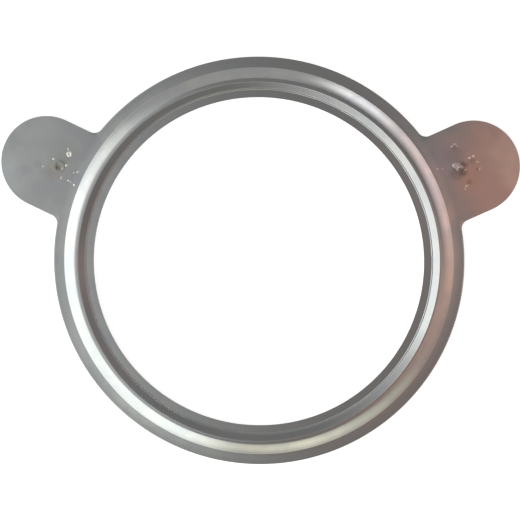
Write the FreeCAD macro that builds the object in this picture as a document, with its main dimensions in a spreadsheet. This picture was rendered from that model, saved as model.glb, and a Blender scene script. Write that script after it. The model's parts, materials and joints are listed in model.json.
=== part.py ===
import FreeCAD, Part
import math
import os

import Sketcher

# Exhaust gasket: two pressed steel sheets laid face to face, each with a ring bead and two ears,
# tacked together by a spot weld on each ear. The beads stand away from each other. The upper sheet
# ends in a narrow lip at the foot of its bead, and the margin of the lower sheet reaches further in
# and makes the edge of the bore. All lengths are in millimetres. The gasket lies flat, its bore
# along Z, and the lowest ring of the lower bead is at height zero. Each sheet is drawn up from the
# plane where the two sheets meet, and the lower one is then turned over.

SIZES = (
    ("sheet_thickness", 0.3, "one sheet of rolled stainless steel"),
    ("bore_radius", 41.25, "to the inner edge of the lower sheet"),
    ("margin_width", 1.9, "flat of the lower sheet inside its bead"),
    ("lip_width", 0.1, "flat of the upper sheet inside its bead"),
    ("inner_flank", 2.3, "foot of the bead to its crest, bore side"),
    ("outer_flank", 3.05, "crest of the bead to its foot, rim side"),
    ("rim_width", 2.55, "outer foot of the bead to the outside"),
    ("bead_height", 0.95, "crest above the flat of the same sheet"),
    ("crest_radius", 2.4, "outer face of the crest"),
    ("foot_radius", 0.8, "outer face at each foot of the bead"),
    ("ear_lift", 25.0, "each ear above the X axis, in degrees"),
    ("ear_reach", 7.05, "outside of the ring to the centre of the ear's round end"),
    ("ear_radius", 11.5, "round end of the ear and half its width"),
    ("ear_blend", 2.2, "between the side of an ear and the ring"),
    ("weld_reach", 4.05, "outside of the ring to the middle of the weld"),
    ("weld_ring_radius", 1.25, "middle of the raised ring of weld metal"),
    ("weld_ring_width", 0.9, "foot to foot of the raised ring"),
    ("weld_ring_flat", 0.3, "top of the raised ring"),
    ("weld_ring_height", 0.08, "raised ring above the sheet"),
    ("weld_pit_radius", 0.5, "crater in the middle of the weld"),
    ("weld_pit_depth", 0.12, "crater below the sheet"),
    ("dimple_radius", 1.5, "electrode mark under the weld"),
    ("dimple_depth", 0.06, "electrode mark below the sheet's face"),
)

# Slope of the inner flank, and how far its bend sets back from the foot
CREST_DROP = "(Sizes.crest_radius - Sizes.bead_height)"
INNER_SLOPE = (
    f"(asin(Sizes.crest_radius / hypot(Sizes.inner_flank; {CREST_DROP}))"
    f" - atan({CREST_DROP} / Sizes.inner_flank))"
)
FOOT_SETBACK = f"(Sizes.foot_radius * tan({INNER_SLOPE} / 2))"

# Radii that follow from the widths, from the bore outwards
FLAT_END = "(Sizes.bore_radius + Sizes.margin_width)"
LIP_EDGE = f"({FLAT_END} - Sizes.lip_width)"
INNER_FOOT = f"({FLAT_END} + {FOOT_SETBACK})"
CREST = f"({INNER_FOOT} + Sizes.inner_flank)"
OUTER_FOOT = f"({CREST} + Sizes.outer_flank)"
OUTSIDE = f"({OUTER_FOOT} + Sizes.rim_width)"
EAR_GRIP = f"({OUTSIDE} - Sizes.rim_width / 2)"
EAR_CENTRE = f"({OUTSIDE} + Sizes.ear_reach)"
WELD_CENTRE = f"({OUTSIDE} + Sizes.weld_reach)"
CREST_LEVEL = "(Sizes.sheet_thickness + Sizes.bead_height)"

START, END, CENTRE = range(1, 4)
HORIZONTAL, UPRIGHT = range(-1, -3, -1)
ORIGIN = (HORIZONTAL, START)
NEAR = 1e-6
CLOSE = 1e-3

# Half a turn about the Y axis, which carries each ear to the place of the other
TURNED_OVER = FreeCAD.Rotation(FreeCAD.Vector(0, 1, 0), 180)


def make_sheet_of_sizes(doc):
    """Spreadsheet with one named driving size in each row."""
    table = doc.addObject("Spreadsheet::Sheet", "Sizes")
    for row, (alias, size, note) in enumerate(SIZES, start=1):
        table.set(f"A{row}", alias)
        table.set(f"B{row}", str(size))
        table.set(f"C{row}", note)
        table.setAlias(f"B{row}", alias)
    doc.recompute()
    return table


def number(sketch, formula):
    """Number that a formula of the named sizes gives."""
    return float(sketch.evalExpression(formula))


def origin_plane(body, role):
    """One of the body's own origin planes."""
    return next(plane for plane in body.Origin.OriginFeatures if plane.Role == role)


def new_sketch(body, name, role):
    """Empty sketch on one of the body's origin planes."""
    sketch = body.newObject("Sketcher::SketchObject", name)
    sketch.AttachmentSupport = (origin_plane(body, role), "")
    sketch.MapMode = "FlatFace"
    return sketch


def drive(sketch, name, kind, where, formula):
    """Add a named dimension that follows a formula of the named sizes."""
    size = number(sketch, formula)
    if kind == "Angle":
        size = math.radians(size)
    index = sketch.addConstraint(Sketcher.Constraint(kind, *where, size))
    sketch.renameConstraint(index, name)
    sketch.setExpression(f"Constraints.{name}", formula)


def tie(sketch, kind, *where):
    """Add a constraint that has no size."""
    sketch.addConstraint(Sketcher.Constraint(kind, *where))


def draw(sketch, points):
    """Add a line through two points or an arc through three."""
    corners = [FreeCAD.Vector(x, y, 0) for x, y in points]
    curve = Part.LineSegment(*corners) if len(corners) == 2 else Part.Arc(*corners)
    return sketch.addGeometry(curve, False)


def join(sketch, first, second, kind):
    """Tie the ends at which two curves meet, smoothly or as a corner."""
    for one in (START, END):
        for other in (START, END):
            gap = sketch.getPoint(first, one) - sketch.getPoint(second, other)
            if gap.Length < NEAR:
                tie(sketch, kind, first, one, second, other)
                return one, other
    raise RuntimeError(f"{sketch.Label}: curves {first} and {second} do not meet")


def end_at(sketch, curve, x):
    """The end of a curve that lies at a given x."""
    return min((START, END), key=lambda end: abs(sketch.getPoint(curve, end).x - x))


def flank_angle(width, height, crest_radius):
    """Slope of a flank that starts at the foot and runs tangent to the round crest."""
    to_centre = math.hypot(width, crest_radius - height)
    return math.asin(crest_radius / to_centre) - math.atan2(crest_radius - height, width)


class Bead:
    """Section of the bead as the named sizes give it: its slopes, and the centres of its bends,
    with heights above the plane where the sheets meet."""

    def __init__(self, sketch):
        self.thickness = number(sketch, "Sizes.sheet_thickness")
        self.height = number(sketch, "Sizes.bead_height")
        self.foot = number(sketch, "Sizes.foot_radius")
        self.crest = number(sketch, "Sizes.crest_radius")
        self.outer = flank_angle(number(sketch, "Sizes.outer_flank"), self.height, self.crest)
        self.inner = flank_angle(number(sketch, "Sizes.inner_flank"), self.height, self.crest)
        self.outer_x = number(sketch, OUTER_FOOT) + self.foot * math.tan(self.outer / 2)
        self.inner_x = number(sketch, INNER_FOOT) - self.foot * math.tan(self.inner / 2)
        self.crest_x = number(sketch, CREST)
        self.crest_y = self.thickness + self.height - self.crest

    def below(self, x, angle):
        """Point of a foot's bend, whose centre stands over x."""
        height = self.thickness + self.foot - self.foot * math.cos(angle)
        return x - self.foot * math.sin(angle), height

    def above(self, radius, angle):
        """Point of the crest's bend on one face of the sheet."""
        return self.crest_x + radius * math.sin(angle), self.crest_y + radius * math.cos(angle)

    def face(self, outer_end, inner_end):
        """Curves of the outer face, from the rim inwards."""
        below, above, crest = self.below, self.above, self.crest
        outer, inner, outer_x, inner_x = self.outer, self.inner, self.outer_x, self.inner_x
        return [
            [(outer_end, self.thickness), below(outer_x, 0)],
            [below(outer_x, 0), below(outer_x, outer / 2), below(outer_x, outer)],
            [below(outer_x, outer), above(crest, outer)],
            [above(crest, outer), above(crest, 0), above(crest, -inner)],
            [above(crest, -inner), below(inner_x, -inner)],
            [below(inner_x, -inner), below(inner_x, -inner / 2), below(inner_x, 0)],
            [below(inner_x, 0), (inner_end, self.thickness)],
        ]

    def back(self, outer_end, inner_end):
        """Curves of the face towards the other sheet, from the rim inwards. It turns at each foot
        in a plain corner."""
        radius = self.crest - self.thickness
        outer, inner = self.above(radius, self.outer), self.above(radius, -self.inner)
        outer_corner = (outer[0] + outer[1] / math.tan(self.outer), 0)
        inner_corner = (inner[0] - inner[1] / math.tan(self.inner), 0)
        return [
            [(outer_end, 0), outer_corner],
            [outer_corner, outer],
            [outer, self.above(radius, 0), inner],
            [inner, inner_corner],
            [inner_corner, (inner_end, 0)],
        ]


def draw_chain(sketch, curves):
    """Draw curves end to end. A bend runs smoothly into what is beside it, and two straight
    stretches meet in a corner."""
    chain = [draw(sketch, points) for points in curves]
    for index, (first, second) in enumerate(zip(curves, curves[1:])):
        smooth = len(first) > 2 or len(second) > 2
        join(sketch, chain[index], chain[index + 1], "Tangent" if smooth else "Coincident")
    return chain


def height_at(sketch, name, curve, end, formula):
    """Dimension of a point's height above the meeting plane."""
    drive(sketch, name, "DistanceY", ORIGIN + (curve, end), formula)


def size_face(sketch, face):
    """Dimensions of the outer face of a beaded sheet."""
    rim, outer_foot, outer_flank, crest, inner_flank, inner_foot, margin = face
    tie(sketch, "Horizontal", rim)
    tie(sketch, "Horizontal", margin)
    rim_end = end_at(sketch, rim, number(sketch, OUTSIDE))
    drive(sketch, "outside", "DistanceX", ORIGIN + (rim, rim_end), OUTSIDE)
    height_at(sketch, "rim_face", rim, rim_end, "Sizes.sheet_thickness")
    height_at(sketch, "margin_face", margin, end_at(sketch, margin, 0), "Sizes.sheet_thickness")
    drive(sketch, "outer_foot_radius", "Radius", (outer_foot,), "Sizes.foot_radius")
    drive(sketch, "inner_foot_radius", "Radius", (inner_foot,), "Sizes.foot_radius")
    drive(sketch, "crest_radius", "Radius", (crest,), "Sizes.crest_radius")

    # Points where each flank, drawn on, would meet the flat, and the top of the crest
    marks = (
        ("outer_foot", OUTER_FOOT, "Sizes.sheet_thickness", outer_flank),
        ("inner_foot", INNER_FOOT, "Sizes.sheet_thickness", inner_flank),
        ("crest", CREST, CREST_LEVEL, crest),
    )
    for name, radius, level, carrier in marks:
        place = FreeCAD.Vector(number(sketch, radius), number(sketch, level), 0)
        mark = sketch.addGeometry(Part.Point(place), True)
        drive(sketch, f"{name}_at", "DistanceX", ORIGIN + (mark, START), radius)
        height_at(sketch, f"{name}_level", mark, START, level)
        tie(sketch, "PointOnObject", mark, START, carrier)
    tie(sketch, "Vertical", mark, START, crest, CENTRE)


def size_back(sketch, face, back):
    """Ties of the face towards the other sheet: it keeps the sheet's thickness from the outer
    face at the flanks and the crest, and lies in the meeting plane at the rim and the margin."""
    rim, outer_flank, crest, inner_flank, margin = back
    tie(sketch, "Coincident", crest, CENTRE, face[3], CENTRE)
    drive(sketch, "crest_back", "Radius", (crest,), "Sizes.crest_radius - Sizes.sheet_thickness")
    tie(sketch, "Parallel", outer_flank, face[2])
    tie(sketch, "Parallel", inner_flank, face[4])
    for flat in (rim, margin):
        tie(sketch, "PointOnObject", flat, START, HORIZONTAL)
        tie(sketch, "PointOnObject", flat, END, HORIZONTAL)


def close_end(sketch, face_curve, back_curve, x):
    """Square cut edge between the two faces."""
    face_end = end_at(sketch, face_curve, x)
    back_end = end_at(sketch, back_curve, x)
    first = sketch.getPoint(face_curve, face_end)
    last = sketch.getPoint(back_curve, back_end)
    edge = draw(sketch, [(first.x, first.y), (last.x, last.y)])
    join(sketch, face_curve, edge, "Coincident")
    join(sketch, edge, back_curve, "Coincident")
    tie(sketch, "Vertical", edge)


def revolve(body, sketch, name):
    """Turn a section all the way round the bore."""
    ring = body.newObject("PartDesign::Revolution", name)
    ring.Profile = sketch
    ring.ReferenceAxis = (sketch, ["V_Axis"])
    ring.Angle = 360
    ring.Refine = True
    return ring


def make_ring(body, inner_edge):
    """Ring of a sheet: rim, bead and margin, with square outer and inner edges."""
    sketch = new_sketch(body, "Section", "XZ_Plane")
    bead = Bead(sketch)
    outside, inside = number(sketch, OUTSIDE), number(sketch, inner_edge)
    face = draw_chain(sketch, bead.face(outside, inside))
    back = draw_chain(sketch, bead.back(outside, inside))
    close_end(sketch, face[0], back[0], outside)
    close_end(sketch, face[-1], back[-1], inside)
    size_face(sketch, face)
    size_back(sketch, face, back)
    margin_end = end_at(sketch, face[-1], inside)
    drive(sketch, "inner_edge", "DistanceX", ORIGIN + (face[-1], margin_end), inner_edge)
    return revolve(body, sketch, "Ring")


def make_ear(body):
    """Flat ear with a round end, blanked in one with the rim."""
    sketch = new_sketch(body, "EarOutline", "XY_Plane")
    lift = math.radians(number(sketch, "Sizes.ear_lift"))
    radius = number(sketch, "Sizes.ear_radius")
    centre = number(sketch, EAR_CENTRE)
    grip = number(sketch, EAR_GRIP)
    root = math.sqrt(grip**2 - radius**2)

    def place(along, across):
        return (
            along * math.cos(lift) - across * math.sin(lift),
            along * math.sin(lift) + across * math.cos(lift),
        )

    axis = draw(sketch, [(0, 0), place(centre, 0)])
    sketch.setConstruction(axis, True)
    left = draw(sketch, [place(root, radius), place(centre, radius)])
    tip = draw(sketch, [place(centre, radius), place(centre + radius, 0), place(centre, -radius)])
    right = draw(sketch, [place(centre, -radius), place(root, -radius)])
    grip_arc = draw(sketch, [place(root, -radius), place(grip, 0), place(root, radius)])
    join(sketch, left, tip, "Tangent")
    join(sketch, tip, right, "Tangent")
    join(sketch, right, grip_arc, "Coincident")
    join(sketch, grip_arc, left, "Coincident")
    tie(sketch, "Coincident", grip_arc, CENTRE, *ORIGIN)
    tie(sketch, "Coincident", axis, START, *ORIGIN)
    tie(sketch, "Coincident", axis, END, tip, CENTRE)
    tie(sketch, "Parallel", left, axis)
    tie(sketch, "Parallel", right, axis)
    drive(sketch, "lift", "Angle", (axis,), "Sizes.ear_lift")
    drive(sketch, "centre", "Distance", (axis,), EAR_CENTRE)
    drive(sketch, "round_end", "Radius", (tip,), "Sizes.ear_radius")
    drive(sketch, "grip", "Radius", (grip_arc,), EAR_GRIP)

    ear = body.newObject("PartDesign::Pad", "Ear")
    ear.Profile = sketch
    ear.setExpression("Length", "Sizes.sheet_thickness")
    ear.Refine = True
    return ear


def weld_sketch(body, name):
    """Sketch that stands on the weld, its upright axis along the weld's own axis."""
    sketch = new_sketch(body, name, "XZ_Plane")
    sketch.setExpression("AttachmentOffset.Base.x", f"{WELD_CENTRE} * cos(Sizes.ear_lift)")
    sketch.setExpression("AttachmentOffset.Base.z", f"-{WELD_CENTRE} * sin(Sizes.ear_lift)")
    return sketch


def make_weld_ring(body):
    """Low ring of metal pushed up round the weld, with sloping sides and a flat top."""
    sketch = weld_sketch(body, "WeldRingSection")
    middle = number(sketch, "Sizes.weld_ring_radius")
    half = number(sketch, "Sizes.weld_ring_width") / 2
    flat = number(sketch, "Sizes.weld_ring_flat") / 2
    face = number(sketch, "Sizes.sheet_thickness")
    top = face + number(sketch, "Sizes.weld_ring_height")
    root = face / 2
    corners = [
        (middle + half, root),
        (middle + half, face),
        (middle + flat, top),
        (middle - flat, top),
        (middle - half, face),
        (middle - half, root),
    ]
    sides = [draw(sketch, pair) for pair in zip(corners, corners[1:] + corners[:1])]
    for first, second in zip(sides, sides[1:] + sides[:1]):
        join(sketch, first, second, "Coincident")
    outer, fall, crown, rise, inner, floor = sides
    tie(sketch, "Vertical", outer)
    tie(sketch, "Vertical", inner)
    tie(sketch, "Horizontal", floor)
    tie(sketch, "Horizontal", crown)
    tie(sketch, "Horizontal", outer, END, inner, START)
    tie(sketch, "Equal", rise, fall)
    drive(sketch, "width", "DistanceX", (inner, START, outer, END), "Sizes.weld_ring_width")
    drive(sketch, "flat", "DistanceX", (crown, END, crown, START), "Sizes.weld_ring_flat")
    height_at(sketch, "face", outer, END, "Sizes.sheet_thickness")
    height_at(sketch, "root", outer, START, "Sizes.sheet_thickness / 2")
    height_at(sketch, "top", crown, START, "Sizes.sheet_thickness + Sizes.weld_ring_height")
    outer_edge = "Sizes.weld_ring_radius + Sizes.weld_ring_width / 2"
    drive(sketch, "outer_edge", "DistanceX", ORIGIN + (outer, END), outer_edge)
    return revolve(body, sketch, "WeldRing")


def make_dish(body, name, radius, depth):
    """Round dish sunk in the outer face of a sheet at the weld, with a flat floor. Its wall slopes
    in as far as it goes down."""
    sketch = weld_sketch(body, f"{name}Section")
    face = number(sketch, "Sizes.sheet_thickness")
    lip = number(sketch, radius)
    sink = number(sketch, depth)
    corners = [(0, face), (lip, face), (lip - sink, face - sink), (0, face - sink)]
    sides = [draw(sketch, pair) for pair in zip(corners, corners[1:] + corners[:1])]
    for first, second in zip(sides, sides[1:] + sides[:1]):
        join(sketch, first, second, "Coincident")
    lid, wall, floor, axis = sides
    tie(sketch, "Horizontal", lid)
    tie(sketch, "Horizontal", floor)
    tie(sketch, "PointOnObject", axis, START, UPRIGHT)
    tie(sketch, "PointOnObject", axis, END, UPRIGHT)
    drive(sketch, "radius", "DistanceX", ORIGIN + (lid, END), radius)
    drive(sketch, "floor_radius", "DistanceX", ORIGIN + (floor, START), f"{radius} - {depth}")
    height_at(sketch, "face", lid, END, "Sizes.sheet_thickness")
    height_at(sketch, "floor", floor, START, f"Sizes.sheet_thickness - {depth}")

    dish = body.newObject("PartDesign::Groove", name)
    dish.Profile = sketch
    dish.ReferenceAxis = (sketch, ["V_Axis"])
    dish.Angle = 360
    dish.Refine = True
    return dish


def mirror_ear(doc, body, features):
    """Repeat the ear and its weld on the other side of the bore."""
    pair = body.newObject("PartDesign::Mirrored", "OtherEar")
    pair.Originals = features
    pair.MirrorPlane = (origin_plane(body, "YZ_Plane"), [""])
    pair.Refine = True
    body.Tip = pair
    doc.recompute()
    return pair


def blend_ears(doc, body, base):
    """Round the four inside corners where the ears leave the ring."""
    outside = number(base, OUTSIDE)
    corners = []
    for index, edge in enumerate(base.Shape.Edges, start=1):
        ends = [vertex.Point for vertex in edge.Vertexes]
        if len(ends) != 2 or abs(ends[0].z - ends[1].z) < NEAR:
            continue
        upright = math.hypot(ends[0].x - ends[1].x, ends[0].y - ends[1].y) < NEAR
        if upright and abs(math.hypot(ends[0].x, ends[0].y) - outside) < CLOSE:
            corners.append(f"Edge{index}")
    blend = body.newObject("PartDesign::Fillet", "EarBlend")
    blend.Base = (base, corners)
    blend.setExpression("Radius", "Sizes.ear_blend")
    body.Tip = blend
    doc.recompute()


def lift(body):
    """Raise the meeting plane so that the crest of the lower bead is at height zero."""
    body.setExpression("Placement.Base.z", CREST_LEVEL)


def make_upper_sheet(doc):
    """Upper sheet: its bead stands up and its margin is a narrow lip."""
    body = doc.addObject("PartDesign::Body", "UpperSheet")
    body.Label = "upper_sheet"
    make_ring(body, LIP_EDGE)
    doc.recompute()
    ear = make_ear(body)
    doc.recompute()
    ring = make_weld_ring(body)
    doc.recompute()
    pit = make_dish(body, "WeldPit", "Sizes.weld_pit_radius", "Sizes.weld_pit_depth")
    doc.recompute()
    pair = mirror_ear(doc, body, [ear, ring, pit])
    blend_ears(doc, body, pair)
    lift(body)
    return body


def make_lower_sheet(doc):
    """Lower sheet: its margin reaches in to the bore, and it is turned over."""
    body = doc.addObject("PartDesign::Body", "LowerSheet")
    body.Label = "lower_sheet"
    make_ring(body, "Sizes.bore_radius")
    doc.recompute()
    ear = make_ear(body)
    doc.recompute()
    dimple = make_dish(body, "Dimple", "Sizes.dimple_radius", "Sizes.dimple_depth")
    doc.recompute()
    pair = mirror_ear(doc, body, [ear, dimple])
    blend_ears(doc, body, pair)
    body.Placement.Rotation = TURNED_OVER
    lift(body)
    return body


def check(doc, bodies):
    """Stop if any object failed to compute or any sheet is not one sound solid."""
    for item in doc.Objects:
        if {"Invalid", "Error"} & set(item.State):
            raise RuntimeError(f"{item.Label}: {item.State}")
    for body in bodies:
        shape = body.Shape
        if shape.isNull() or not shape.isValid() or len(shape.Solids) != 1:
            raise RuntimeError(f"{body.Label} is not one sound solid")


def main():
    doc = FreeCAD.newDocument("ExhaustGasket")
    make_sheet_of_sizes(doc)
    bodies = [make_upper_sheet(doc), make_lower_sheet(doc)]
    doc.recompute()
    check(doc, bodies)
    os.makedirs("parts", exist_ok=True)
    for body in bodies:
        body.Shape.exportStep(f"parts/{body.Label}.step")
        print(body.Label, round(body.Shape.Volume, 2), body.Shape.BoundBox)


main()
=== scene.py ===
"""Looks of an exhaust gasket: two beaded sheets of stainless steel, tacked together at two ears.

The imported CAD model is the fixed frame. Satin steel mirrors every facet, so each sheet is modelled
again here with a fine mesh and stands for its CAD node. Sizes are written in millimetres, with
heights above the plane where the two sheets meet, and turned into Blender's metres where they are
used.
"""

import json
import logging
import math
from collections.abc import Callable, Iterable, Sequence
from dataclasses import dataclass, replace
from enum import Enum

import bmesh
import bpy
from mathutils import Matrix, Vector

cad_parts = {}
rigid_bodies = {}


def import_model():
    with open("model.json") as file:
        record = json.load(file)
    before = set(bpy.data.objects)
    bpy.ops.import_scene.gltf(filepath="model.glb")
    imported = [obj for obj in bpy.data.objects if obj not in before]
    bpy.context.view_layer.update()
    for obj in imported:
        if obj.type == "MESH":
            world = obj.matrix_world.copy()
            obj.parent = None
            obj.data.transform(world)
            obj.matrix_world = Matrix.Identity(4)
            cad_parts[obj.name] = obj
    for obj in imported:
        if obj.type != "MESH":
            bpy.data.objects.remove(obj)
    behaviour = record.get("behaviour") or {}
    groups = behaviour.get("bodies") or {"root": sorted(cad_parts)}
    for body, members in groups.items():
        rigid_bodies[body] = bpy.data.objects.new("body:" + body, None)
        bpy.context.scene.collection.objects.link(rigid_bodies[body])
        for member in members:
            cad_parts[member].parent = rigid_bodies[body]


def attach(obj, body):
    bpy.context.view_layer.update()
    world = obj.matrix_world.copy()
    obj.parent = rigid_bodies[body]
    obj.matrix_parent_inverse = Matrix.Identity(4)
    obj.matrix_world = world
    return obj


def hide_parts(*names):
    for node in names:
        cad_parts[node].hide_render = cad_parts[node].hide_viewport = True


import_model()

MM = 0.001  # metres in a millimetre
NEAR = 0.002  # millimetres within which two points are one
log = logging.getLogger("gasket")

Point = tuple[float, float]
Colour = tuple[float, float, float, float]


def metres(x: float, y: float, z: float = 0.0) -> Vector:
    """Blender's point for a place in millimetres."""
    return Vector((x, y, z)) * MM


def polar(radius: float, degrees: float) -> Point:
    """Place at a radius and an angle round the bore."""
    return radius * math.cos(math.radians(degrees)), radius * math.sin(math.radians(degrees))


def linear(colour: str) -> Colour:
    """Turns an sRGB hex colour into Blender's linear one.

    Args:
        colour: six hex digits after a hash sign.

    Returns:
        Red, green, blue and an alpha of one.
    """
    parts = [int(colour[i : i + 2], 16) / 255 for i in (1, 3, 5)]
    red, green, blue = (c / 12.92 if c <= 0.04045 else ((c + 0.055) / 1.055) ** 2.4 for c in parts)
    return red, green, blue, 1.0


# Modelling by hand, with Blender's own tools


def deselect() -> None:
    """Leaves nothing selected, in object mode."""
    if bpy.context.mode != "OBJECT":
        bpy.ops.object.mode_set(mode="OBJECT")
    bpy.ops.object.select_all(action="DESELECT")


def new_piece(name: str) -> bpy.types.Object:
    """Puts a new, empty piece in the scene.

    Args:
        name: what it is called.

    Returns:
        An object at the origin, with nothing in its mesh yet.
    """
    piece = bpy.data.objects.new(name, bpy.data.meshes.new(name))
    bpy.context.scene.collection.objects.link(piece)
    return piece


def edit(piece: bpy.types.Object) -> None:
    """Opens a piece's mesh for editing, with nothing in it selected.

    Args:
        piece: the piece.
    """
    deselect()
    bpy.context.view_layer.objects.active = piece
    piece.select_set(True)
    bpy.ops.object.mode_set(mode="EDIT")
    bpy.ops.mesh.select_mode(type="EDGE")
    bpy.ops.mesh.select_all(action="DESELECT")


def select_edges(wanted: Callable[[bmesh.types.BMEdge], bool]) -> int:
    """Selects edges of the mesh that is being edited.

    Args:
        wanted: says of an edge whether it is to be selected.

    Returns:
        How many edges are selected.
    """
    data = bpy.context.edit_object.data
    mesh = bmesh.from_edit_mesh(data)
    bpy.ops.mesh.select_all(action="DESELECT")
    chosen = [edge for edge in mesh.edges if wanted(edge)]
    for edge in chosen:
        edge.select_set(True)
    bmesh.update_edit_mesh(data, loop_triangles=False, destructive=False)
    return len(chosen)


def first_point(place: Point, height: float) -> None:
    """Puts one point, selected, in the mesh that is being edited.

    Args:
        place: where it stands.
        height: its level.
    """
    bpy.ops.mesh.select_mode(type="VERT")
    bpy.ops.mesh.primitive_plane_add(size=MM, location=metres(*place, height))
    bpy.ops.mesh.merge(type="CENTER")


def merge_linked() -> None:
    """Selects what hangs together with the last point, and merges its doubles."""
    bpy.ops.mesh.select_linked()
    bpy.ops.mesh.remove_doubles(threshold=NEAR * MM)
    bpy.ops.mesh.select_mode(type="EDGE")


def turn_section(section: Sequence[Point], centre: Point, steps: int) -> None:
    """Draws a section and spins it round an upright axis, in the mesh that is being edited.

    Args:
        section: radius and height of each of its points.
        centre: where the axis stands.
        steps: stretches that a full turn is made of.
    """
    radius, height = section[0]
    first_point((centre[0] + radius, centre[1]), height)
    for here, there in zip(section, section[1:]):
        move = metres(there[0] - here[0], 0, there[1] - here[1])
        bpy.ops.mesh.extrude_vertices_move(TRANSFORM_OT_translate={"value": move})
    bpy.ops.mesh.select_linked()
    bpy.ops.mesh.spin(steps=steps, angle=math.tau, center=metres(*centre), axis=(0, 0, 1))
    merge_linked()


@dataclass(frozen=True)
class Arc:
    """Stretch of an outline that turns round a centre."""

    centre: Point
    degrees: float
    steps: int

    def draw(self) -> None:
        """Spins the outline's last point round the centre. Blender counts clockwise here."""
        bpy.ops.mesh.spin(
            steps=self.steps,
            angle=-math.radians(self.degrees),
            center=metres(*self.centre),
            axis=(0, 0, 1),
        )


@dataclass(frozen=True)
class Straight:
    """Straight stretch of an outline."""

    length: float
    degrees: float

    def draw(self) -> None:
        """Draws the outline's last point out."""
        move = metres(*polar(self.length, self.degrees))
        bpy.ops.mesh.extrude_vertices_move(TRANSFORM_OT_translate={"value": move})


def trace(start: Point, height: float, path: Iterable[Arc | Straight]) -> None:
    """Draws a closed outline in the mesh that is being edited, and leaves it selected.

    Args:
        start: the outline's first point.
        height: its level.
        path: the stretches that lead back to the first point.
    """
    first_point(start, height)
    for stretch in path:
        stretch.draw()
    merge_linked()


# Finishes

Socket = bpy.types.NodeSocket


def add_node(
    tree: bpy.types.NodeTree,
    kind: str,
    settings: dict[str, object] | None = None,
    inputs: dict[str | int, object] | None = None,
) -> bpy.types.Node:
    """Adds a node to a tree.

    Args:
        tree: where it goes.
        kind: Blender's name for its type.
        settings: what is set on the node itself.
        inputs: by socket, a value or the output that is linked to it.

    Returns:
        The node.
    """
    node = tree.nodes.new(kind)
    for name, value in (settings or {}).items():
        setattr(node, name, value)
    for name, value in (inputs or {}).items():
        if isinstance(value, Socket):
            tree.links.new(value, node.inputs[name])
        else:
            node.inputs[name].default_value = value
    return node


LEFT_WELD, RIGHT_WELD = (-50.0, 23.7), (49.6, 24.6)  # middles of the two spot welds


@dataclass(frozen=True)
class StainOrPaintedLight:
    """Round patch of colour on the steel, full in its core and gone at its reach. Some are heat tint
    and haze; others are painted shadow, shade or reflection, marked where they are listed.
    """

    place: Point
    core: float
    reach: float
    colour: str
    strength: float


UPPER_STAINS_AND_PAINTED_LIGHT = (
    # left ear
    StainOrPaintedLight((-64.5, 21.5), 2.5, 7.0, "#D8DCDB", 0.7),
    StainOrPaintedLight((-48.5, 27.0), 1.0, 5.0, "#A9B3A4", 0.25),
    StainOrPaintedLight((-46.0, 21.0), 1.0, 4.0, "#ABB1C2", 0.2),
    StainOrPaintedLight((-51.8, 21.6), 0.8, 3.0, "#B8ABA4", 0.3),
    StainOrPaintedLight((-50.1, 23.6), 0.9, 3.6, "#A8A287", 0.2),
    StainOrPaintedLight((-51.0, 23.8), 0.3, 1.4, "#C6BBAA", 0.5),
    StainOrPaintedLight((-49.6, 24.7), 0.2, 1.1, "#7A7265", 0.16),
    StainOrPaintedLight((-49.8, 23.4), 0.35, 1.0, "#6B6657", 0.45),
    StainOrPaintedLight((-48.4, 24.8), 0.3, 1.2, "#8A8468", 0.15),
    StainOrPaintedLight((-55.1, 24.2), 0.3, 1.4, "#8F92A6", 0.2),
    # right ear: the first two patches paint it pink all over, a painted warm reflection
    StainOrPaintedLight((60.0, 24.0), 7.0, 21.0, "#EBC8BE", 0.95),
    StainOrPaintedLight((66.0, 28.0), 6.7, 11.2, "#F2D5CA", 1.0),
    StainOrPaintedLight((46.5, 26.5), 1.5, 7.0, "#D3C4D2", 0.45),
    StainOrPaintedLight((48.3, 27.6), 1.0, 3.6, "#A09480", 0.2),
    StainOrPaintedLight((52.4, 22.4), 1.0, 4.5, "#F0B48E", 0.25),
    StainOrPaintedLight((48.7, 23.0), 0.6, 2.4, "#8C8688", 0.4),
    StainOrPaintedLight((50.4, 23.4), 0.3, 1.5, "#77704F", 0.5),
    # painted shadow: these two dark patches lie beside the raised weld crust
    StainOrPaintedLight((50.2, 25.5), 0.2, 0.9, "#5A4C50", 0.45),
    StainOrPaintedLight((51.0, 25.1), 0.2, 0.9, "#5A4C50", 0.45),
    # painted shadow: a dark sickle beside the drop at (54.6, 24.3)
    StainOrPaintedLight((53.95, 24.2), 0.05, 0.5, "#6B4A45", 0.6),
    StainOrPaintedLight((52.0, 20.9), 0.2, 0.9, "#7C5E54", 0.28),
    # painted shade under the drops beside it
    StainOrPaintedLight((52.5, 26.3), 0.3, 1.3, "#8A7158", 0.28),
    StainOrPaintedLight((48.1, 29.3), 0.3, 1.0, "#7E6E72", 0.2),
)

LOWER_STAINS = (
    StainOrPaintedLight(LEFT_WELD, 1.2, 3.6, "#C2AE8A", 0.35),
    StainOrPaintedLight(LEFT_WELD, 0.6, 2.1, "#8E8C9C", 0.35),
    StainOrPaintedLight(RIGHT_WELD, 1.4, 4.2, "#C6A682", 0.45),
    StainOrPaintedLight(RIGHT_WELD, 0.7, 2.3, "#857C90", 0.45),
)


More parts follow.
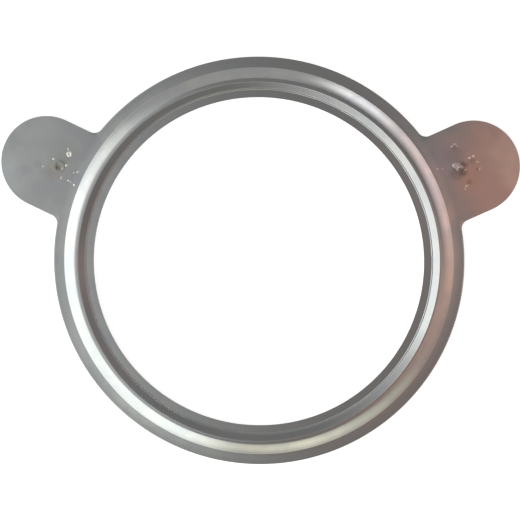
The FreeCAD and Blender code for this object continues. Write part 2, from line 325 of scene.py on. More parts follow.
@dataclass(frozen=True)
class SatinStainless:
    """Cold-rolled stainless strip with a satin skin.

    To the eye it is a soft mirror: reflections have blurred edges, the flats are faintly cloudy,
    and fine lines run along the strip.
    """

    name: str
    stains_and_painted_light: Sequence[StainOrPaintedLight]
    colour: str = "#CACAC8"
    dull_colour: str = "#C3C4C5"
    roughness: float = 0.16
    mottle_size: float = 5.0
    mottle_roughness: float = 0.03
    mottle_range: Point = (0.35, 0.65)
    mottle_detail: float = 3.0
    fray: float = 0.5
    grain_length: float = 9.0
    grain_width: float = 0.5
    grain_depth: float = 0.0025
    grain_detail: float = 2.0

    def make(self) -> bpy.types.Material:
        """Makes the material.

        Returns:
            Steel that is a little dull in cloudy patches and coloured by heat round the welds, with
            painted shadow, shade and reflection where its patches say so.
        """
        material = bpy.data.materials.new(self.name)
        material.use_nodes = True
        tree = material.node_tree
        tree.nodes.clear()
        place = add_node(tree, "ShaderNodeTexCoord").outputs["Object"]
        clouds = add_node(
            tree,
            "ShaderNodeTexNoise",
            inputs={
                "Vector": place,
                "Scale": 1 / (self.mottle_size * MM),
                "Detail": self.mottle_detail,
            },
        )
        low, high = self.mottle_range
        cloudy = add_node(
            tree,
            "ShaderNodeMapRange",
            {"interpolation_type": "SMOOTHSTEP"},
            {"Value": clouds.outputs[0], "From Min": low, "From Max": high},
        )
        colour = self.mix(tree, cloudy.outputs[0], linear(self.colour), linear(self.dull_colour))
        for stain_or_light in self.stains_and_painted_light:
            colour = self.stain_or_light(tree, place, clouds.outputs[0], colour, stain_or_light)
        roughness = add_node(
            tree,
            "ShaderNodeMath",
            {"operation": "MULTIPLY_ADD"},
            {0: cloudy.outputs[0], 1: self.mottle_roughness, 2: self.roughness},
        )
        shader = add_node(
            tree,
            "ShaderNodeBsdfPrincipled",
            inputs={
                "Base Color": colour,
                "Metallic": 1.0,
                "Roughness": roughness.outputs[0],
                "Normal": self.grain(tree, place),
            },
        )
        add_node(tree, "ShaderNodeOutputMaterial", inputs={"Surface": shader.outputs[0]})
        return material

    def mix(
        self, tree: bpy.types.NodeTree, share: Socket, first: Socket | Colour, last: Colour
    ) -> Socket:
        """Mixes two colours.

        Args:
            tree: the material's nodes.
            share: how much of the last colour there is.
            first: the colour where there is none of it.
            last: the colour where there is nothing else.

        Returns:
            The mixture.
        """
        node = add_node(
            tree,
            "ShaderNodeMix",
            {"data_type": "RGBA"},
            {"Factor": share, 6: first, 7: last},
        )
        return node.outputs[2]

    def stain_or_light(
        self, tree: bpy.types.NodeTree, place: Socket, noise: Socket, colour: Socket, stain_or_light: StainOrPaintedLight
    ) -> Socket:
        """Lays a patch over a colour: heat tint or haze, or painted shadow, shade or reflection.

        Args:
            tree: the material's nodes.
            place: the point on the steel.
            noise: cloudiness that frays the patch's edge.
            colour: the steel so far.
            stain_or_light: the patch.

        Returns:
            The colour with the patch in it.
        """
        flat = add_node(
            tree, "ShaderNodeVectorMath", {"operation": "MULTIPLY"}, {0: place, 1: (1, 1, 0)}
        )
        away = add_node(
            tree,
            "ShaderNodeVectorMath",
            {"operation": "DISTANCE"},
            {0: flat.outputs[0], 1: metres(*stain_or_light.place)},
        )
        frayed = add_node(
            tree,
            "ShaderNodeMath",
            {"operation": "MULTIPLY_ADD"},
            {0: noise, 1: stain_or_light.reach * self.fray * MM, 2: away.outputs["Value"]},
        )
        mean = stain_or_light.reach * self.fray / 2
        share = add_node(
            tree,
            "ShaderNodeMapRange",
            {"interpolation_type": "SMOOTHSTEP"},
            {
                "Value": frayed.outputs[0],
                "From Min": (stain_or_light.core + mean) * MM,
                "From Max": (stain_or_light.reach + mean) * MM,
                "To Min": stain_or_light.strength,
                "To Max": 0.0,
            },
        )
        return self.mix(tree, share.outputs[0], colour, linear(stain_or_light.colour))

    def grain(self, tree: bpy.types.NodeTree, place: Socket) -> Socket:
        """Draws the rolling lines. Real ones are too fine to show, so these are coarser.

        Args:
            tree: the material's nodes.
            place: the point on the steel.

        Returns:
            The surface's direction with the lines in it.
        """
        lengths = (self.grain_length, self.grain_width, self.grain_width)
        stretched = add_node(
            tree,
            "ShaderNodeVectorMath",
            {"operation": "MULTIPLY"},
            {0: place, 1: [1 / (length * MM) for length in lengths]},
        )
        lines = add_node(
            tree,
            "ShaderNodeTexNoise",
            inputs={"Vector": stretched.outputs[0], "Scale": 1.0, "Detail": self.grain_detail},
        )
        bump = add_node(
            tree,
            "ShaderNodeBump",
            inputs={"Height": lines.outputs[0], "Distance": self.grain_depth * MM},
        )
        return bump.outputs[0]


class Skin(Enum):
    """Skin of a drop of spatter: the number of its material slot and its colour."""

    BRIGHT = (1, "#F4F1EA")
    # painted warm reflection: pink painted into the drops' colour
    PAINTED_WARM_REFLECTION = (2, "#DCBFAF")
    # pinkish grey: a painted warm reflection too, on dimmer drops
    DULL = (3, "#D0C3C0")

    @property
    def slot(self) -> int:
        """Number of the material slot in the sheet."""
        return self.value[0]

    @property
    def colour(self) -> str:
        """Colour of the skin."""
        return self.value[1]


@dataclass(frozen=True)
class WeldMetal:
    """Steel that was melted and thrown out by the weld, with a fine rough skin.

    It glints from all sides and mirrors nothing. A drop that froze at once stayed pale. The pink of
    the other skins is painted into their colour: a painted warm reflection, as on the right ear.
    """

    skin: Skin
    roughness: float = 0.4

    def make(self) -> bpy.types.Material:
        """Makes the material.

        Returns:
            Metal of one colour and roughness all over.
        """
        material = bpy.data.materials.new(f"{self.skin.name.lower()}_weld_metal")
        material.use_nodes = True
        tree = material.node_tree
        tree.nodes.clear()
        shader = add_node(
            tree,
            "ShaderNodeBsdfPrincipled",
            inputs={
                "Base Color": linear(self.skin.colour),
                "Metallic": 1.0,
                "Roughness": self.roughness,
            },
        )
        add_node(tree, "ShaderNodeOutputMaterial", inputs={"Surface": shader.outputs[0]})
        return material


# The gasket


@dataclass(frozen=True)
class Bend:
    """Bend in a sheet's section, and the straight that follows it, drawn from the rim inwards.

    Its radius is that of the outer face, below zero where that face is hollow. A lean is how far
    the face falls outwards, in degrees.
    """

    radius: float
    first: float
    last: float
    steps: int
    straight: float = 0.0

    def rise(self) -> float:
        """How far the bend climbs."""
        turn = math.cos(math.radians(self.last)) - math.cos(math.radians(self.first))
        return self.radius * turn

    def width(self) -> float:
        """How far the bend reaches across the ring."""
        turn = math.sin(math.radians(self.first)) - math.sin(math.radians(self.last))
        return self.radius * turn + self.straight * math.cos(math.radians(self.last))

    def points(self, start: Point, depth: float) -> list[Point]:
        """Points along the bend.

        Args:
            start: where the outer face begins to bend.
            depth: how far under the outer face the points lie.

        Returns:
            Radius and height of each point.
        """
        lean = math.radians(self.first)
        middle = start[0] - self.radius * math.sin(lean), start[1] - self.radius * math.cos(lean)
        reach = self.radius - depth
        leans = [
            math.radians(self.first + (self.last - self.first) * i / self.steps)
            for i in range(self.steps + 1)
        ]
        return [(middle[0] + reach * math.sin(a), middle[1] + reach * math.cos(a)) for a in leans]

    def end(self, start: Point) -> Point:
        """Follows the outer face round the bend and along its straight.

        Args:
            start: where the outer face begins to bend.

        Returns:
            Radius and height of the outer face at the end.
        """
        lean = math.radians(self.last)
        radius, height = self.points(start, 0)[-1]
        return radius - self.straight * math.cos(lean), height + self.straight * math.sin(lean)


@dataclass(frozen=True)
class BeadSection:
    """Section of a sheet across the ring: rim, bead and margin.

    The bead is steep on the bore side, where it turns sharply into the crest, and runs out towards
    the rim in a long curve. The rim bends up by a slight lean before it meets the bead's foot.
    """

    thickness: float = 0.3
    inner_edge: float = 41.25
    outside: float = 51.25
    height: float = 0.95
    crest: float = 45.17
    crest_inner_radius: float = 0.25
    crest_outer_radius: float = 4.1
    inner_lean: float = -31.0
    outer_leans: Point = (14.0, 20.6)
    inner_foot_radius: float = 0.4
    outer_foot_radius: float = 0.45
    rim_lean: float = 2.7
    rim_bend: float = 2.1
    edge_round: float = 0.04
    rim_steps: int = 5
    foot_steps: int = 8
    flank_steps: int = 8
    crest_steps: int = 10

    @property
    def lift(self) -> float:
        """Height of the meeting plane above the ground that the gasket lies on."""
        return self.thickness + self.height

    def bends(self) -> list[Bend]:
        """The section's bends, from the rim to the flat inside the bead.

        Returns:
            The bends. The long outer one and the straight inner flank take up the bead's height.
        """
        upper, lower = self.outer_leans
        rim_radius = self.rim_bend / math.sin(math.radians(self.rim_lean))
        rim = Bend(-rim_radius, 0, self.rim_lean, self.rim_steps)
        foot = Bend(-self.outer_foot_radius, self.rim_lean, lower, self.foot_steps)
        crest = Bend(self.crest_outer_radius, upper, 0, self.crest_steps)
        left = self.height - rim.rise() - foot.rise() - crest.rise()
        flank_radius = left / Bend(1, lower, upper, 1).rise()
        flank = Bend(flank_radius, lower, upper, self.flank_steps)
        inner_foot = Bend(-self.inner_foot_radius, self.inner_lean, 0, self.foot_steps)
        turn = Bend(self.crest_inner_radius, 0, self.inner_lean, self.crest_steps)
        drop = self.height + turn.rise() + inner_foot.rise()
        straight = -drop / math.sin(math.radians(self.inner_lean))
        return [rim, foot, flank, crest, replace(turn, straight=straight), inner_foot]

    def faces(self) -> tuple[list[Point], list[Point]]:
        """Follows the section from the rim inwards.

        Returns:
            Points of the outer face, and of the face towards the other sheet.
        """
        bends = self.bends()
        outside_crest = bends[:-2]
        at = self.crest + sum(bend.width() for bend in outside_crest), self.thickness
        outer, meeting = [], []
        for bend in bends:
            outer += bend.points(at, 0)[bool(outer) :]
            meeting += bend.points(at, self.thickness)[bool(meeting) :]
            at = bend.end(at)
        return outer, meeting


@dataclass(frozen=True)
class EarOutline:
    """Ring's outside with its two ears, which stand as far above the X axis on either side.

    The lift is the angle from that axis to an ear's middle line, and the reach is how far outside
    the ring the ear's round end has its centre.
    """

    lift: float = 25.0
    reach: float = 7.05
    radius: float = 11.5
    blend: float = 2.2
    ring_steps: int = 720
    blend_steps: int = 12
    tip_steps: int = 90

    def path(self, outside: float) -> tuple[Point, list[Arc | Straight]]:
        """Stretches of the outline, anticlockwise from above the right ear.

        Args:
            outside: the ring's outside radius.

        Returns:
            The first point, and the stretches that lead back to it.
        """
        pivot = outside + self.blend
        spread = math.degrees(math.asin((self.radius + self.blend) / pivot))
        side = outside + self.reach - pivot * math.cos(math.radians(spread))
        path: list[Arc | Straight] = []
        at = self.lift + spread
        for ear in (180 - self.lift, 360 + self.lift):
            sweep = ear - spread - at
            steps = round(self.ring_steps * sweep / 360)
            near, far = polar(pivot, ear - spread), polar(pivot, ear + spread)
            path += [
                Arc((0, 0), sweep, steps),
                Arc(near, spread - 90, self.blend_steps),
                Straight(side, ear),
                Arc(polar(outside + self.reach, ear), 180, self.tip_steps),
                Straight(-side, ear),
                Arc(far, spread - 90, self.blend_steps),
            ]
            at = ear + spread
        return polar(outside, self.lift + spread), path


class Facing(Enum):
    """Way in which a sheet's bead stands."""

    UP = 1
    DOWN = -1


@dataclass(frozen=True)
class WeldMark:
    """Spot weld's mark in the upper face: a pit in the middle of a low ring.

    Its very middle is closed by one flat face.
    """

    place: Point
    middle: float = 0.03
    pit_radius: float = 0.5
    pit_depth: float = 0.04
    pit_edge: float = 0.3
    ring_radius: float = 1.25
    ring_width: float = 1.1
    ring_height: float = 0.012
    reach: float = 2.2
    steps: int = 21

    def section(self) -> list[Point]:
        """Draws the mark's section.

        Returns:
            Radius and rise of points from the middle outwards.
        """
        points = []
        for i in range(self.steps + 1):
            radius = self.middle + (self.reach - self.middle) * i / self.steps
            pit = (self.pit_radius + self.pit_edge / 2 - radius) / self.pit_edge
            ring = 1 - 2 * abs(radius - self.ring_radius) / self.ring_width
            rise = self.ring_height * ease(ring) - self.pit_depth * ease(pit)
            points.append((radius, rise))
        return points


@dataclass(frozen=True)
class Dimple:
    """Shallow print of the welding tip in the lower sheet, with a flat bottom."""

    place: Point
    middle: float = 0.1
    radius: float = 1.5
    depth: float = 0.06
    reach: float = 1.7

    def section(self) -> list[Point]:
        """Radius and rise of points from the middle outwards."""
        wall = self.radius - self.depth  # a slope of 45 degrees
        floor = [(self.middle, -self.depth), (wall, -self.depth)]
        return [*floor, (self.radius, 0), (self.reach, 0)]


@dataclass(frozen=True)
class Drop:
    """Drop of weld spatter, frozen where it fell and half sunk in the sheet's skin.

    It is stretched along its turn, in degrees, and its flatness is the share of its height that is
    left.
    """

    place: Point
    width: float
    stretch: float = 1.0
    turn: float = 0.0
    flatness: float = 0.5
    skin: Skin = Skin.BRIGHT
    subdivisions: int = 3

    def add(self, level: float) -> None:
        """Adds the drop to the mesh that is being edited.

        Args:
            level: height of the face that it lies on.
        """
        middle = metres(*self.place, level)
        bpy.ops.mesh.select_all(action="DESELECT")
        bpy.ops.mesh.primitive_ico_sphere_add(
            subdivisions=self.subdivisions, radius=self.width * MM / 2, location=middle
        )
        self.flatten(middle)

    def flatten(self, middle: Vector) -> None:
        """Presses what is selected flat, draws it out, turns it and gives it its skin.

        Args:
            middle: the point about which it is pressed and turned.
        """
        shape = (self.stretch, 1, self.flatness)
        bpy.ops.transform.resize(value=shape, center_override=middle)
        bpy.ops.transform.rotate(
            value=-math.radians(self.turn), orient_axis="Z", center_override=middle
        )
        bpy.context.edit_object.active_material_index = self.skin.slot
        bpy.ops.object.material_slot_assign()


@dataclass(frozen=True)
class SplashRing(Drop):
    """Drop that splashed open into a ring. Its wall's radius is a share of its width."""

    wall: float = 0.23
    steps_round: int = 36
    steps_across: int = 14

    def add(self, level: float) -> None:
        """Adds the ring to the mesh that is being edited.

        Args:
            level: height of the face that it lies on.
        """
        middle = metres(*self.place, level)
        bpy.ops.mesh.select_all(action="DESELECT")
        bpy.ops.mesh.primitive_torus_add(
            major_segments=self.steps_round,
            minor_segments=self.steps_across,
            location=middle,
            major_radius=self.width * (0.5 - self.wall) * MM,
            minor_radius=self.width * self.wall * MM,
        )
        self.flatten(middle)


@dataclass(frozen=True)
class Roughening:
    """Unevenness that fades out round a place, as noise that moves part of a mesh."""

    name: str
    grain: float
    strength: float
    axes: tuple[str, ...]
    depth: int = 2

    def apply(self, piece: bpy.types.Object, share: Callable[[Vector], float]) -> None:
        """Moves the part of a piece's mesh that is to be uneven.

        Args:
            piece: the piece, in object mode.
            share: says of a point in millimetres how fully it is moved, from 0 to 1.
        """
        group = piece.vertex_groups.new(name=self.name)
        for corner in piece.data.vertices:
            weight = share(corner.co / MM)
            if weight > 0:
                group.add([corner.index], weight, "REPLACE")
        noise = bpy.data.textures.new(self.name, "CLOUDS")
        noise.noise_scale = self.grain * MM
        noise.noise_depth = self.depth
        for axis in self.axes:
            move = piece.modifiers.new(f"{self.name}_{axis.lower()}", "DISPLACE")
            move.texture = noise
            move.texture_coords = "LOCAL"
            move.direction = axis
            move.strength = self.strength * MM
            move.mid_level = 0.5  # as far in as out
            move.vertex_group = self.name
            apply_modifier(piece, move)
        piece.vertex_groups.clear()


LIP_WAVES = Roughening("lip", grain=3.0, strength=0.16, axes=("X", "Y"))
WELD_CRUST = Roughening("crust", grain=0.5, strength=0.03, axes=("Z",))
DROP_LUMPS = Roughening("lumps", grain=0.3, strength=0.2, axes=("X", "Y", "Z"))


def ease(share: float) -> float:
    """Smooth step from 0 to 1, and level before and after."""
    share = min(max(share, 0.0), 1.0)
    return share * share * (3 - 2 * share)


def apply_modifier(piece: bpy.types.Object, modifier: bpy.types.Modifier) -> None:
    """Applies a modifier to a piece.

    Args:
        piece: the piece.
        modifier: one of its modifiers.
    """
    deselect()
    bpy.context.view_layer.objects.active = piece
    piece.select_set(True)
    bpy.ops.object.modifier_apply(modifier=modifier.name)


DROPS = (
    # left ear
    SplashRing((-47.2, 26.75), 1.6, flatness=0.6),
    Drop((-47.2, 26.75), 0.7, flatness=0.45),
    Drop((-47.5, 27.9), 0.4, 2.2, 105),
    Drop((-51.15, 25.5), 0.55, 1.3, 10),
    Drop((-47.95, 23.9), 0.8),
    Drop((-49.0, 23.1), 0.6, flatness=0.25),
    Drop((-53.8, 23.6), 0.45, flatness=0.3),
    Drop((-46.0, 19.1), 0.75),
    Drop((-45.1, 22.3), 0.5, 1.6, 5, flatness=0.35),
    Drop((-46.1, 22.1), 0.35, 1.8, 15, flatness=0.3),
    Drop((-49.3, 20.8), 0.35, 2.0, 85, flatness=0.3),
    Drop((-47.5, 20.1), 0.35, 1.8, -25, flatness=0.35),
    Drop((-46.9, 19.8), 0.35, 1.5, 60, flatness=0.3),
    # right ear
    SplashRing((48.7, 25.0), 1.5, 1.25, -15, 0.2, Skin.DULL),
    Drop((48.1, 25.2), 0.7, 1.2, 30, 0.25, Skin.DULL),
    Drop((49.5, 24.7), 0.75, 1.3, 35, 0.35, Skin.DULL),
    Drop((49.1, 24.1), 0.6, 1.4, 80, 0.2, Skin.DULL),
    Drop((48.2, 30.25), 0.5, 1.5, -10, 0.3, Skin.DULL),
    Drop((47.5, 29.7), 0.5, 1.5, 30, 0.35, Skin.DULL),
    Drop((48.75, 29.85), 0.4, 1.6, -40, 0.3, Skin.DULL),
    Drop((53.0, 27.45), 0.95, 1.1, 40, 0.4, Skin.PAINTED_WARM_REFLECTION),
    Drop((52.1, 27.0), 0.8, 1.3, 25, 0.3, Skin.PAINTED_WARM_REFLECTION),
    Drop((54.6, 24.3), 0.75, 1.2, 20, 0.25, Skin.PAINTED_WARM_REFLECTION),
    Drop((53.9, 26.0), 0.5, 1.8, -15, 0.2, Skin.PAINTED_WARM_REFLECTION),
    Drop((51.5, 20.1), 0.6, 1.7, 35, 0.35, Skin.PAINTED_WARM_REFLECTION),
    Drop((51.1, 19.3), 0.35, 2.4, 75, 0.25, Skin.PAINTED_WARM_REFLECTION),
    Drop((44.2, 24.1), 0.4, 1.8, 0, 0.25, Skin.DULL),
    Drop((45.5, 24.1), 0.4, 1.5, 0, 0.25, Skin.DULL),
    Drop((51.0, 24.0), 0.4, 1.4, 10, 0.25, Skin.PAINTED_WARM_REFLECTION),
)


def smooth(piece: bpy.types.Object, sharpness: float = 30.0) -> None:
    """Shades a finished piece smooth, with its flats kept flat.

    Args:
        piece: the piece.
        sharpness: degrees from which an edge stays sharp.
    """
    deselect()
    bpy.context.view_layer.objects.active = piece
    piece.select_set(True)
    bpy.ops.object.shade_smooth_by_angle(angle=math.radians(sharpness))
    keep = piece.modifiers.new("flats", "WEIGHTED_NORMAL")
    keep.keep_sharp = True
    apply_modifier(piece, keep)


@dataclass
class Spatter:
    """Weld spatter on the ears."""

    drops: Sequence[Drop]
    level: float

    def join_to(self, piece: bpy.types.Object) -> None:
        """Models the drops and makes them part of a sheet.

        Args:
            piece: the sheet, with its own material in its first slot.
        """
        spatter = new_piece("spatter")
        for metal in (piece.data.materials[0], *(WeldMetal(skin).make() for skin in Skin)):
            spatter.data.materials.append(metal)
        edit(spatter)
        for drop in self.drops:
            drop.add(self.level)
        bpy.ops.object.mode_set(mode="OBJECT")
        DROP_LUMPS.apply(spatter, lambda point: 1.0)
        deselect()
        spatter.select_set(True)
        piece.select_set(True)
        bpy.context.view_layer.objects.active = piece
        bpy.ops.object.join()


@dataclass
class Sheet:
    """One pressed sheet of the gasket."""

    node: str
    facing: Facing
    section: BeadSection
    ears: EarOutline
    marks: Sequence[WeldMark | Dimple]
    steel: SatinStainless
    drops: Sequence[Drop] = ()
    lip_round: float = 0.0
    lip_reach: float = 0.25
    crust_reach: float = 0.95
    sharp_corner: float = 70.0
    bead_steps: int = 360
    mark_steps: int = 64
    lip_steps: int = 5
    edge_steps: int = 3

    def model(self) -> bpy.types.Object:
        """Models the sheet at its place.

        Returns:
            The finished mesh, its object at the origin.
        """
        piece = new_piece(f"{self.node}_pressed")
        edit(piece)
        self.press()
        if self.lip_round:
            self.round_lip()
        self.round_edges()
        self.put_in_place()
        bpy.ops.object.mode_set(mode="OBJECT")
        if self.lip_round:
            LIP_WAVES.apply(piece, self.lip_share)
            WELD_CRUST.apply(piece, self.crust_share)
        return piece

    def dress(self, piece: bpy.types.Object) -> None:
        """Gives the sheet its steel and its weld spatter, and shades it smooth.

        Args:
            piece: the sheet's finished mesh.
        """
        piece.data.materials.append(self.steel.make())
        if self.drops:
            Spatter(self.drops, self.section.lift + self.section.thickness).join_to(piece)
        smooth(piece)

    def press(self) -> None:
        """Draws the sheet's faces, facing up, in the mesh that is being edited."""
        section = self.section
        trace(*self.start_and_path())
        drop = {"value": metres(0, 0, -section.thickness)}
        bpy.ops.mesh.extrude_edges_move(TRANSFORM_OT_translate=drop)
        for mark in self.marks:
            raised = [(radius, section.thickness + rise) for radius, rise in mark.section()]
            turn_section(raised, mark.place, self.mark_steps)
            self.select_open_edges(raised[0][1])
            bpy.ops.mesh.edge_face_add()
        outer, meeting = section.faces()
        edge, flat = section.inner_edge, 2 * section.edge_round
        for face in (outer, meeting):  # a narrow strip of rim, on which the bead's shading ends
            face.insert(0, (face[0][0] + flat, face[0][1]))
        ring = [*outer, (edge, section.thickness), (edge, 0), *reversed(meeting)]
        turn_section(ring, (0, 0), self.bead_steps)
        for level in (section.thickness, 0.0):
            self.select_open_edges(level)
            bpy.ops.mesh.fill(use_beauty=True)

    def start_and_path(self) -> tuple[Point, float, list[Arc | Straight]]:
        """The outline's first point, its level and its stretches."""
        start, path = self.ears.path(self.section.outside)
        return start, self.section.thickness, path

    def select_open_edges(self, level: float) -> None:
        """Selects the edges at one level that have a face on one side only.

        Args:
            level: their height, before the sheet is put in its place.
        """
        height, near = level * MM, NEAR * MM
        count = select_edges(
            lambda edge: edge.is_boundary
            and all(abs(corner.co.z - height) < near for corner in edge.verts)
        )
        if not count:
            raise RuntimeError(f"{self.node} has no open edge at {level} mm")

    def round_lip(self) -> None:
        """Rounds the upper corner of the edge that the punch left on the bore side."""
        height, reach, near = self.section.thickness * MM, self.section.inner_edge * MM, NEAR * MM
        select_edges(
            lambda edge: all(
                abs(corner.co.z - height) < near and abs(corner.co.xy.length - reach) < near
                for corner in edge.verts
            )
        )
        bpy.ops.mesh.bevel(offset=self.lip_round * MM, segments=self.lip_steps, affect="EDGES")

    def round_edges(self) -> None:
        """Takes the sharpness off the cut edges."""
        bpy.ops.mesh.select_all(action="SELECT")
        bpy.ops.mesh.normals_make_consistent(inside=False)
        bpy.ops.mesh.select_all(action="DESELECT")
        bpy.ops.mesh.edges_select_sharp(sharpness=math.radians(self.sharp_corner))
        width = self.section.edge_round * MM
        bpy.ops.mesh.bevel(offset=width, segments=self.edge_steps, affect="EDGES")

    def put_in_place(self) -> None:
        """Turns the sheet the right way up and lifts it off the ground."""
        bpy.ops.mesh.select_all(action="SELECT")
        bpy.ops.transform.resize(value=(1, 1, self.facing.value), center_override=(0, 0, 0))
        bpy.ops.transform.translate(value=metres(0, 0, self.section.lift))
        bpy.ops.mesh.normals_make_consistent(inside=False)

    def lip_share(self, point: Vector) -> float:
        """How fully a point takes part in the lip's waviness."""
        return ease(1 - (point.xy.length - self.section.inner_edge) / self.lip_reach)

    def crust_share(self, point: Vector) -> float:
        """How fully a point takes part in the weld crust's unevenness.

        Args:
            point: a point of the sheet, in millimetres.

        Returns:
            One within the crust's reach of a weld's middle, and nought from twice as far.
        """
        if point.z < self.section.lift + self.section.thickness / 2:
            return 0.0
        away = min((point.xy - Vector(mark.place)).length for mark in self.marks)
        return ease(2 - away / self.crust_reach)


# Studio


@dataclass(frozen=True)
class WallLight:
    """Soft upright light on the walls round the gasket, such as a window.

    Its middle is given as a compass angle and an angle from straight above. Its width and height
    are those from there to the middle of its soft edges. All are in degrees.
    """

    name: str
    azimuth: float
    width: float
    side_edge: float
    zenith: float
    height: float
    top_edge: float
    colour: str
    strength: float

    def share(self, tree: bpy.types.NodeTree, compass: Socket, steepness: Socket) -> Socket:
        """How much of the light comes from each direction.

        Args:
            tree: the world's nodes.
            compass: the direction's angle round the upright, in radians.
            steepness: its angle from straight above.

        Returns:
            A share from 0 to 1.
        """
        away = add_node(
            tree,
            "ShaderNodeMath",
            {"operation": "SUBTRACT"},
            {0: compass, 1: math.radians(self.azimuth)},
        )
        aside = add_node(
            tree,
            "ShaderNodeMath",
            {"operation": "WRAP"},
            {0: away.outputs[0], 1: math.pi, 2: -math.pi},
        )
        above = add_node(
            tree,
            "ShaderNodeMath",
            {"operation": "SUBTRACT"},
            {0: steepness, 1: math.radians(self.zenith)},
        )
        sides = self.fade(tree, aside.outputs[0], self.width, self.side_edge)
        ends = self.fade(tree, above.outputs[0], self.height, self.top_edge)
        both = add_node(tree, "ShaderNodeMath", {"operation": "MULTIPLY"}, {0: sides, 1: ends})
        return both.outputs[0]

    def fade(self, tree: bpy.types.NodeTree, angle: Socket, reach: float, edge: float) -> Socket:
        """Fades the light out across an edge on either side.

        Args:
            tree: the world's nodes.
            angle: how far a direction is from the light's middle, in radians.
            reach: degrees from the middle to the middle of the edge.
            edge: how wide the edge is, in degrees.

        Returns:
            A share from 1 to 0.
        """
        size = add_node(tree, "ShaderNodeMath", {"operation": "ABSOLUTE"}, {0: angle})
        share = add_node(
            tree,
            "ShaderNodeMapRange",
            {"interpolation_type": "SMOOTHSTEP"},
            {
                "Value": size.outputs[0],
                "From Min": math.radians(reach - edge / 2),
                "From Max": math.radians(reach + edge / 2),
                "To Min": 1.0,
                "To Max": 0.0,
            },
        )
        return share.outputs[0]


@dataclass(frozen=True)
class RoundGlow:
    """Soft round patch of light, such as the sheen of a ceiling.

    It is even within its core and fades out across its edge. All are in degrees.
    """

    name: str
    azimuth: float
    zenith: float
    core: float
    edge: float
    colour: str
    strength: float

    def share(self, tree: bpy.types.NodeTree, way: Socket) -> Socket:
        """How much of the light comes from each direction.

        Args:
            tree: the world's nodes.
            way: the direction.

        Returns:
            A share from 0 to 1.
        """
        out = math.sin(math.radians(self.zenith))
        middle = Vector((*polar(out, self.azimuth), math.cos(math.radians(self.zenith))))
        near = add_node(
            tree, "ShaderNodeVectorMath", {"operation": "DOT_PRODUCT"}, {0: way, 1: middle}
        )
        angle = add_node(
            tree, "ShaderNodeMath", {"operation": "ARCCOSINE"}, {0: near.outputs["Value"]}
        )
        share = add_node(
            tree,
            "ShaderNodeMapRange",
            {"interpolation_type": "SMOOTHSTEP"},
            {
                "Value": angle.outputs[0],
                "From Min": math.radians(self.core),
                "From Max": math.radians(self.core + self.edge),
                "To Min": 1.0,
                "To Max": 0.0,
            },
        )
        return share.outputs[0]


# The room that the steel mirrors: a bright window on one side and warm walls on the other
WALLS = (
    WallLight("window", -150, 46, 17, 44.3, 10.6, 4.5, "#F8FFFB", 1.13),
    WallLight("bright_pane", -119.5, 12.5, 17, 44.3, 10.6, 4.5, "#F8FFFB", 0.36),
    WallLight("window_side", -168, 53, 67, 63.0, 7.9, 18.5, "#FEFFFD", 1.22),
    WallLight("blind", -116, 12, 30, 17.8, 3.2, 5.5, "#F4FFF5", 0.53),
    WallLight("shaded_lamp", -80, 21, 60, 46.0, 6.6, 14.6, "#FFFBE2", 1.29),
    WallLight("warm_wall", -28, 14, 44, 27.8, 21.3, 5.8, "#FFC4AA", 0.51),
    WallLight("pink_curtain", 20, 19, 29, 37.8, 5.5, 10.3, "#FFE3DF", 1.23),
    WallLight("strip_light", 55, 12, 30, 34.6, 4.5, 4.6, "#FDFDFF", 2.08),
    WallLight("grey_wall", 139, 63, 18, 34.5, 10.8, 4.1, "#FEFFFA", 0.28),
    WallLight("window_reveal", 157, 8, 15, 37.8, 8.4, 10.3, "#FEFFF4", 0.52),
    WallLight("pale_backdrop", 0, 180, 10, 84.0, 8.0, 8.0, "#FFFFFF", 0.42),
)

GLOWS = (
    RoundGlow("ceiling_sheen", -169, 34, 23, 8, "#F9FEFF", 0.39),
    RoundGlow("warm_corner", -8, 43, 4, 9, "#FFC6AD", 0.46),
    RoundGlow("warm_ceiling", -55, 25, 2, 10, "#FFAF8A", 0.27),
    RoundGlow("pale_ceiling", 105, 11, 4, 8, "#FFFFFF", 0.045),
    RoundGlow("warm_lamp", -38, 6.3, 1, 3.7, "#FFEDEA", 0.12),
    RoundGlow("warm_haze", -68, 19, 3, 7, "#FF9060", 0.08),
)


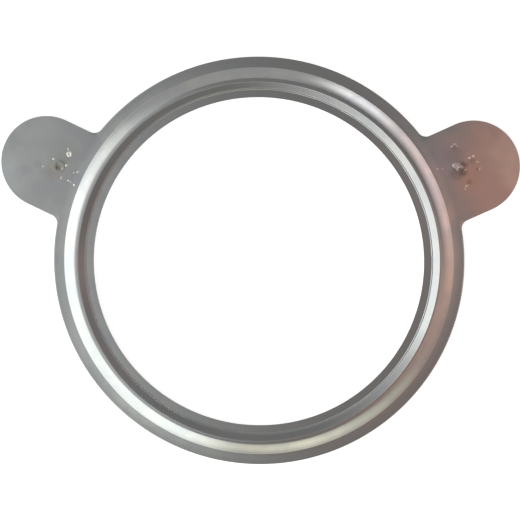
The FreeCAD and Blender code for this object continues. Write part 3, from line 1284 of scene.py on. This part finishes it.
@dataclass(frozen=True)
class Studio:
    """Camera, floor and light.

    The camera is tilted from straight above towards its lean, and its field is the picture's width
    where it aims, in the plane in which the sheets meet.
    """

    tilt: float = 7.5
    lean: Point = (0.3, 0.95)
    distance: float = 440.0
    field: float = 129.8
    aim: tuple[float, float, float] = (0.42, 0.8, 1.25)
    roll: float = 0.5
    clip: Point = (10.0, 10000.0)
    ambient: str = "#7B7B7B"
    floor_colour: str = "#EFEFEF"
    floor_glow: float = 0.65
    floor_size: float = 3000.0
    floor_gap: float = 0.02
    walls: Sequence[WallLight] = WALLS
    glows: Sequence[RoundGlow] = GLOWS

    def place_camera(self) -> None:
        """Puts the camera nearly straight above the gasket."""
        lean = Vector(self.lean).normalized() * math.sin(math.radians(self.tilt))
        back = Vector((*lean, math.cos(math.radians(self.tilt))))
        right = Vector((0, 1, 0)).cross(back).normalized()
        upright = Matrix((right, back.cross(right), back)).transposed().to_4x4()
        data = bpy.data.cameras.new("camera")
        data.lens = data.sensor_width * self.distance / self.field
        data.clip_start, data.clip_end = (distance * MM for distance in self.clip)
        camera = bpy.data.objects.new("camera", data)
        bpy.context.scene.collection.objects.link(camera)
        place = metres(*self.aim) + back * self.distance * MM
        turn = Matrix.Rotation(math.radians(self.roll), 4, "Z")
        camera.matrix_world = Matrix.Translation(place) @ upright @ turn
        bpy.context.scene.camera = camera

    def lay_floor(self) -> None:
        """Lays a pale floor, white to the camera and to mirrors, and clear from below."""
        deselect()
        below = metres(0, 0, -self.floor_gap)
        bpy.ops.mesh.primitive_plane_add(size=self.floor_size * MM, location=below)
        floor = bpy.context.object
        floor.name = "floor"
        material = bpy.data.materials.new("floor")
        material.use_nodes = True
        tree = material.node_tree
        tree.nodes.clear()
        path = add_node(tree, "ShaderNodeLightPath")
        seen = add_node(
            tree,
            "ShaderNodeMath",
            {"operation": "MAXIMUM"},
            {0: path.outputs["Is Camera Ray"], 1: path.outputs["Is Glossy Ray"]},
        )
        glow = add_node(
            tree,
            "ShaderNodeMath",
            {"operation": "MULTIPLY"},
            {0: seen.outputs[0], 1: self.floor_glow},
        )
        matt = add_node(tree, "ShaderNodeBsdfDiffuse", inputs={"Color": linear(self.floor_colour)})
        light = add_node(tree, "ShaderNodeEmission", inputs={"Strength": glow.outputs[0]})
        both = add_node(
            tree, "ShaderNodeAddShader", inputs={0: matt.outputs[0], 1: light.outputs[0]}
        )
        side = add_node(tree, "ShaderNodeNewGeometry")
        clear = add_node(tree, "ShaderNodeBsdfTransparent")
        surface = add_node(
            tree,
            "ShaderNodeMixShader",
            inputs={0: side.outputs["Backfacing"], 1: both.outputs[0], 2: clear.outputs[0]},
        )
        add_node(tree, "ShaderNodeOutputMaterial", inputs={"Surface": surface.outputs[0]})
        floor.data.materials.append(material)

    def light(self) -> None:
        """Lights the gasket from soft lights all round it, in front of a white background."""
        world = bpy.data.worlds.new("studio")
        bpy.context.scene.world = world
        world.use_nodes = True
        tree = world.node_tree
        tree.nodes.clear()
        way = add_node(tree, "ShaderNodeTexCoord").outputs["Generated"]
        parts = add_node(tree, "ShaderNodeSeparateXYZ", inputs={0: way}).outputs
        compass = add_node(
            tree, "ShaderNodeMath", {"operation": "ARCTAN2"}, {0: parts["Y"], 1: parts["X"]}
        )
        steepness = add_node(tree, "ShaderNodeMath", {"operation": "ARCCOSINE"}, {0: parts["Z"]})
        total: Socket | tuple[float, ...] = linear(self.ambient)[:3]
        for wall in self.walls:
            share = wall.share(tree, compass.outputs[0], steepness.outputs[0])
            total = self.add_light(tree, share, total, wall)
        for glow in self.glows:
            total = self.add_light(tree, glow.share(tree, way), total, glow)
        surroundings = add_node(tree, "ShaderNodeBackground", inputs={"Color": total})
        white = add_node(tree, "ShaderNodeBackground", inputs={"Color": (1, 1, 1, 1)})
        path = add_node(tree, "ShaderNodeLightPath")
        either = add_node(
            tree,
            "ShaderNodeMixShader",
            inputs={
                0: path.outputs["Is Camera Ray"],
                1: surroundings.outputs[0],
                2: white.outputs[0],
            },
        )
        add_node(tree, "ShaderNodeOutputWorld", inputs={"Surface": either.outputs[0]})

    def add_light(
        self,
        tree: bpy.types.NodeTree,
        share: Socket,
        total: Socket | tuple[float, ...],
        light: WallLight | RoundGlow,
    ) -> Socket:
        """Adds one soft light to the surroundings.

        Args:
            tree: the world's nodes.
            share: how much of it comes from each direction.
            total: the light so far.
            light: the light to add.

        Returns:
            The light with this one in it.
        """
        colour = Vector(linear(light.colour)[:3]) * light.strength
        added = add_node(
            tree,
            "ShaderNodeVectorMath",
            {"operation": "MULTIPLY_ADD"},
            {0: share, 1: colour, 2: total},
        )
        return added.outputs[0]


def main() -> None:
    """Builds and dresses the gasket, and sets up the studio."""
    logging.basicConfig(level=logging.INFO, format="%(name)s: %(message)s")
    bpy.context.scene.view_settings.view_transform = "Standard"
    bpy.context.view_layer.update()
    upper_sheet = Sheet(
        node="upper_sheet",
        facing=Facing.UP,
        section=BeadSection(inner_edge=43.08),
        ears=EarOutline(),
        marks=[WeldMark(LEFT_WELD), WeldMark(RIGHT_WELD)],
        steel=SatinStainless("satin_rolled_stainless", UPPER_STAINS_AND_PAINTED_LIGHT),
        drops=DROPS,
        lip_round=0.25,
    )
    lower_sheet = Sheet(
        node="lower_sheet",
        facing=Facing.DOWN,
        section=BeadSection(),
        ears=EarOutline(),
        marks=[Dimple(LEFT_WELD), Dimple(RIGHT_WELD)],
        steel=SatinStainless("satin_rolled_stainless_underside", LOWER_STAINS),
    )
    for sheet in (upper_sheet, lower_sheet):
        piece = sheet.model()
        sheet.dress(piece)
        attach(piece, "root")
        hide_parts(sheet.node)
        log.info("%s: %d faces", piece.name, len(piece.data.polygons))
    studio = Studio()
    studio.lay_floor()
    studio.light()
    studio.place_camera()


if __name__ == "__main__":
    main()
